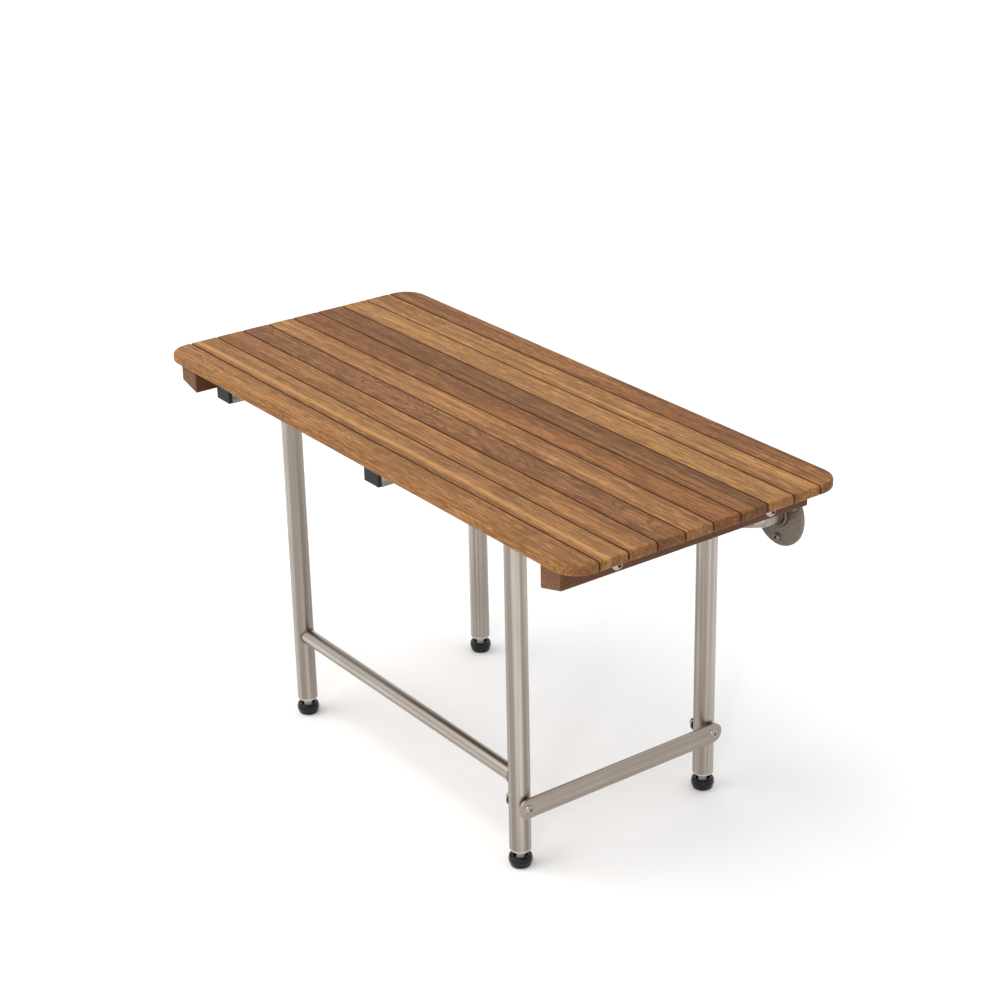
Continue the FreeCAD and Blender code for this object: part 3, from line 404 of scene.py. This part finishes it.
def rolled_plate(name, tone, rough):
    """Plate with a dull, cloudy mill surface."""
    made = Shader(name, rough=rough, metal=1.0)
    speck = made.noise(made.place((330, 330, 330)), detail=4, rough=0.7)
    cloud = made.noise(made.place((34, 34, 34)), detail=3)
    colour = made.blend(made.span(speck, 0.40, 0.62), shade(tone, 0.74, 0.73, 0.71), tone)
    colour = made.blend(made.span(cloud, 0.38, 0.66, 0.0, 0.45), colour, shade(tone, 0.66, 0.65, 0.63))
    made.colour(colour)
    made.roughness(made.math("MULTIPLY_ADD", speck, 0.2, rough - 0.1))
    made.bump(speck, 0.2, MARK_DEPTH)
    return made.material


def weld_bead(name):
    """Cleaned weld metal: rippled, darker and a little browner than the tube."""
    made = Shader(name, rough=0.42, metal=1.0)
    ripple = made.noise(made.place((420, 420, 420)), detail=3)
    dark = shade(WELD_TONE, 0.55, 0.52, 0.48)
    made.colour(made.blend(made.span(ripple, 0.38, 0.64), dark, WELD_TONE))
    made.roughness(made.math("MULTIPLY_ADD", ripple, 0.2, 0.32))
    made.bump(ripple, 0.5, 0.3 * MM)
    return made.material


def polished(name, tone, rough=0.14, metal=1.0):
    """Bright fasteners, with faint machining marks."""
    made = Shader(name, rough=rough, metal=metal)
    marks = made.noise(made.place((900, 900, 900)), detail=2)
    cloud = made.noise(made.place((160, 160, 160)), detail=2)
    dark = shade(tone, 0.8, 0.8, 0.8)
    made.colour(made.blend(made.span(cloud, 0.4, 0.7, 0.0, 0.5), tone, dark))
    made.roughness(made.math("MULTIPLY_ADD", marks, 0.12, rough - 0.04))
    made.bump(marks, 0.08, 0.05 * MM)
    return made.material


def finish_metal():
    """Satin tubes, brushed link bar, dull wall flanges and bright or plated fasteners."""
    upright = satin_steel("tube_upright", TUBE_TONE, 0.30, 2)
    level = satin_steel("tube_level", TUBE_TONE, 0.30, 0)
    arm = satin_steel("tube_arm", shade(TUBE_TONE, 0.8, 0.8, 0.8), 0.34, 1)
    bar = satin_steel("plate_bar", shade(TUBE_TONE, 0.9, 0.87, 0.84), 0.36, 1, streak=0.2)
    round_plate = rolled_plate("plate_flange", FLANGE_TONE, 0.40)
    bright = polished("fastener", BRIGHT_TONE, rough=0.12)
    inner = polished("inner_steel", HIDDEN_STEEL_TONE, rough=0.3)
    plated = polished("plated_steel", PLATED_TONE, rough=0.38, metal=0.75)
    stud = polished("stud_steel", STUD_TONE, rough=0.30, metal=0.5)
    for side in SIDES:
        paint(upright, f"front_leg_{side}", f"rear_leg_{side}", f"hinge_post_{side}")
        paint(level, f"hinge_barrel_front_{side}", f"hinge_barrel_rear_{side}")
        paint(stud, f"foot_stud_front_{side}", f"foot_stud_rear_{side}")
        paint(round_plate, f"wall_flange_{side}")
    paint(arm, "seat_arm_left", "seat_arm_middle", "seat_arm_right")
    paint(level, "wall_rail", "front_stretcher", "cross_tube_front", "cross_tube_rear")
    paint(bar, "link_bar")
    for end in ENDS:
        paint(bright, f"link_screw_{end}", f"link_nut_{end}", f"link_washers_{end}")
        paint(plated, f"leg_inserts_{end}")
    paint(bright, "batten_bolts")
    paint(inner, "batten_blind_nuts", "slat_screws", "hinge_collars")


# ---------------------------------------------------------------- plastics

CAP_TONE = linear(24, 20, 18)
RUBBER_TONE = linear(9, 9, 9)
NYLON_TONE = linear(214, 210, 200)


def moulded(name, tone, rough, grain, depth, shine=0.5):
    """Moulded plastic or rubber, with a fine spark-eroded grain."""
    made = Shader(name, rough=rough)
    speck = made.noise(made.place((grain, grain, grain)), detail=3, rough=0.6)
    cloud = made.noise(made.place((60, 60, 60)), detail=2)
    pale = tuple(c * 1.5 + 0.004 for c in tone[:3]) + (1.0,)
    made.colour(made.blend(made.span(cloud, 0.35, 0.75, 0.0, 0.6), tone, pale))
    made.roughness(made.math("MULTIPLY_ADD", speck, 0.2, rough - 0.1))
    made.bump(speck, 0.3, depth)
    made.surface.inputs["Specular IOR Level"].default_value = shine
    return made.material


def finish_plastic():
    """Matt arm caps, glossy foot pads and pale hinge bushes."""
    cap = moulded("cap_black", CAP_TONE, 0.55, 900, 0.12 * MM, shine=0.3)
    rubber = moulded("foot_black", RUBBER_TONE, 0.2, 700, 0.02 * MM, shine=0.3)
    nylon = moulded("bush_white", NYLON_TONE, 0.45, 900, 0.05 * MM)
    paint(cap, "arm_cap_front_left", "arm_cap_front_middle", "arm_cap_front_right", "arm_caps_rear")
    for side in SIDES:
        paint(rubber, f"foot_pad_front_{side}", f"foot_pad_rear_{side}")
    paint(nylon, "hinge_bushes_front", "hinge_bushes_rear")


# ---------------------------------------------------------------- pieces drawn here

TUBE_RADIUS = (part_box("front_leg_right")[1].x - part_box("front_leg_right")[0].x) / 2
BEAD = 1.4 * MM            # radius of a weld bead
FLANGE_BEAD = 2.6 * MM     # the larger one round the rail's end
FLANGE_BEAD_OUT = 0.6      # how far outside the tube its middle lies, in its radii
FLANGE_BEAD_UP = 0.25      # and how far off the flange
LOOP_POINTS = 72
RIPPLE = 0.16              # how much a bead's radius varies
RIPPLE_POINTS = 3          # points to one ripple


def middle_of(name):
    low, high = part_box(name)
    return (low + high) / 2


def bead(points, body, name, radius=BEAD):
    """A closed weld bead along the points, slightly rippled."""
    path = bpy.data.curves.new(name, "CURVE")
    path.dimensions = "3D"
    path.bevel_depth = radius
    path.bevel_resolution = 2
    line = path.splines.new("POLY")
    line.points.add(len(points) - 1)
    line.use_cyclic_u = True
    for index, point in enumerate(points):
        line.points[index].co = (*point, 1)
        line.points[index].radius = 1 + RIPPLE * math.sin(index * TURN / RIPPLE_POINTS)
    rope = bpy.data.objects.new(name + "_path", path)
    scene.collection.objects.link(rope)
    bpy.context.view_layer.update()
    graph = bpy.context.evaluated_depsgraph_get()
    mesh = bpy.data.meshes.new_from_object(rope.evaluated_get(graph))
    bpy.data.objects.remove(rope)
    return add_piece(name, mesh, body)


def add_piece(name, mesh, body):
    """Puts a mesh into the scene as a piece that moves with a body."""
    mesh.shade_smooth()
    piece = bpy.data.objects.new(name, mesh)
    scene.collection.objects.link(piece)
    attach(piece, body)
    return piece


def full_turn(count):
    """Evenly spaced angles over a full turn."""
    return [index * TURN / count for index in range(count)]


def around():
    """Cosine and sine of the angles of a weld's loop."""
    return [(math.cos(angle), math.sin(angle)) for angle in full_turn(LOOP_POINTS)]


def saddle(centre, above):
    """Where an upright tube meets a level one of the same size, above or below its axis."""
    return [centre + TUBE_RADIUS * Vector((c, s, above * abs(c))) for c, s in around()]


def add_welds(weld):
    """Beads round each flange, barrel, rail joint and stretcher end."""
    pieces = []
    rail_z = middle_of("wall_rail").z
    for side, sign in zip(SIDES, (-1, 1)):
        flange = middle_of(f"wall_flange_{side}")
        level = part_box(f"wall_flange_{side}")[0].y - FLANGE_BEAD * FLANGE_BEAD_UP
        reach = TUBE_RADIUS + FLANGE_BEAD * FLANGE_BEAD_OUT
        ring = [Vector((flange.x + reach * c, level, flange.z + reach * s)) for c, s in around()]
        pieces.append(bead(ring, "wall_frame", f"weld_flange_{side}", FLANGE_BEAD))
        for end, body in (("front", "front_legs"), ("rear", "wall_frame")):
            leg = middle_of(f"{end}_leg_{side}")
            barrel = middle_of(f"hinge_barrel_{end}_{side}")
            pieces.append(bead(saddle(Vector((leg.x, leg.y, barrel.z)), -1), body,
                               f"weld_barrel_{end}_{side}"))
            if end == "rear":
                joint = Vector((leg.x, leg.y, rail_z))
                pieces.append(bead(saddle(joint, -1), body, f"weld_leg_{side}"))
                pieces.append(bead(saddle(joint, 1), body, f"weld_post_{side}"))
            else:
                pieces.append(bead(stretcher_joint(leg, -sign), body, f"weld_stretcher_{side}"))
    for piece in pieces:
        piece.data.materials.clear()
        piece.data.materials.append(weld)


def stretcher_joint(leg, inward):
    """Where the stretcher meets a leg's wall."""
    low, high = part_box("front_stretcher")
    radius = (high.z - low.z) / 2
    middle = (high.z + low.z) / 2
    points = []
    for c, s in around():
        reach = math.sqrt(TUBE_RADIUS ** 2 - (radius * c) ** 2)
        points.append(Vector((leg.x + inward * reach, leg.y + radius * c, middle + radius * s)))
    return points


SCREW_SIDES = 36
SCREW_CIRCLE = 30 * MM     # the flange's screw holes, from its middle
SCREW_ANGLES = (-90, 30, 150)
SHARP = math.radians(35)   # an edge that turns more than this is drawn sharp

# The head's profile in millimetres: distance from the middle, height.
SCREW_HEAD = ((3.1, -3.9), (3.1, 0.0), (4.9, 0.0), (5.0, 0.25), (4.9, 0.8), (4.5, 1.6),
              (3.8, 2.4), (3.1, 2.9), (2.6, 3.1))
SOCKET = 2.0               # half of the hexagon socket's width across its flats
SOCKET_TOP = 3.1
SOCKET_FLOOR = 1.3


def screw_mesh(name):
    """A domed wall screw with a hexagon socket, its head standing up along Z."""
    angles = full_turn(SCREW_SIDES)
    rings = [[(r * math.cos(a), r * math.sin(a), z) for a in angles] for r, z in SCREW_HEAD]
    rings += [[hex_point(a, z) for a in angles] for z in (SOCKET_TOP, SOCKET_FLOOR)]
    points = [Vector(p) * MM for ring in rings for p in ring]
    faces = [tuple(reversed(range(SCREW_SIDES)))]
    for ring in range(len(rings) - 1):
        start = ring * SCREW_SIDES
        for step in range(SCREW_SIDES):
            following = (step + 1) % SCREW_SIDES
            faces.append((start + step, start + following,
                          start + SCREW_SIDES + following, start + SCREW_SIDES + step))
    last = (len(rings) - 1) * SCREW_SIDES
    faces.append(tuple(range(last, last + SCREW_SIDES)))
    mesh = bpy.data.meshes.new(name)
    mesh.from_pydata(points, [], faces)
    mesh.validate()
    return mesh


def hex_point(angle, z):
    """A point on the socket's hexagon, whose flats lie SOCKET from its middle."""
    sixth = TURN / 6
    reach = SOCKET / math.cos(angle % sixth - sixth / 2)
    return (reach * math.cos(angle), reach * math.sin(angle), z)


def add_wall_screws(bright):
    """Three screws hold each flange to the wall."""
    for side in SIDES:
        centre = middle_of(f"wall_flange_{side}")
        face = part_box(f"wall_flange_{side}")[0].y
        for number, degrees in enumerate(SCREW_ANGLES, start=1):
            angle = math.radians(degrees)
            name = f"wall_screw_{side}_{number}"
            mesh = screw_mesh(name)
            where = Vector((centre.x + SCREW_CIRCLE * math.cos(angle), face,
                            centre.z + SCREW_CIRCLE * math.sin(angle)))
            mesh.transform(Matrix.Translation(where) @ Matrix.Rotation(TURN / 4, 4, "X"))
            piece = add_piece(name, mesh, "wall_frame")
            piece.data.set_sharp_from_angle(angle=SHARP)
            piece.data.materials.append(bright)


# ---------------------------------------------------------------- stage

FLOOR_REACH = 20.0
FLOOR_TONE = linear(253, 253, 253)
SKY_TINT = (0.98, 0.99, 1.0, 1.0)
SKY_STRENGTH = 0.95

# name, where it stands as seen from the bench, strength, softness in degrees, tint
LAMPS = (
    ("key", Vector((-0.55, -0.95, 1.35)), 1.35, 55, (1.0, 0.965, 0.92)),
    ("fill", Vector((0.62, -0.72, 0.62)), 0.3, 7, (1.0, 1.0, 1.0)),
)


def make_stage():
    """A pale floor, an even white sky, a large soft lamp at the left front and a small faint
    one at the right front that puts the glints on feet and fasteners."""
    bpy.ops.mesh.primitive_plane_add(size=FLOOR_REACH * 2, location=(0, 0, 0))
    floor = bpy.context.active_object
    floor.name = "floor"
    pale = Shader("floor", rough=0.75)
    pale.colour(FLOOR_TONE)
    floor.data.materials.append(pale.material)

    world = bpy.data.worlds.new("studio")
    world.use_nodes = True
    sky = world.node_tree.nodes["Background"]
    sky.inputs["Color"].default_value = SKY_TINT
    sky.inputs["Strength"].default_value = SKY_STRENGTH
    scene.world = world

    for settings in LAMPS:
        lamp(*settings)


def lamp(name, towards, strength, softness, tint):
    """A lamp so large and far that it lights the floor evenly. towards points at the lamp."""
    data = bpy.data.lights.new(name, "SUN")
    data.energy = strength
    data.angle = math.radians(softness)
    data.color = tint
    light = bpy.data.objects.new(name, data)
    light.rotation_mode = "QUATERNION"
    light.rotation_quaternion = towards.to_track_quat("Z", "Y")
    scene.collection.objects.link(light)


# ---------------------------------------------------------------- the scene

make_camera()
make_stage()
scene.view_settings.view_transform = "Standard"
finish_wood()
finish_metal()
finish_plastic()
add_welds(weld_bead("weld"))
add_wall_screws(polished("wall_screw", WALL_SCREW_TONE, rough=0.24))
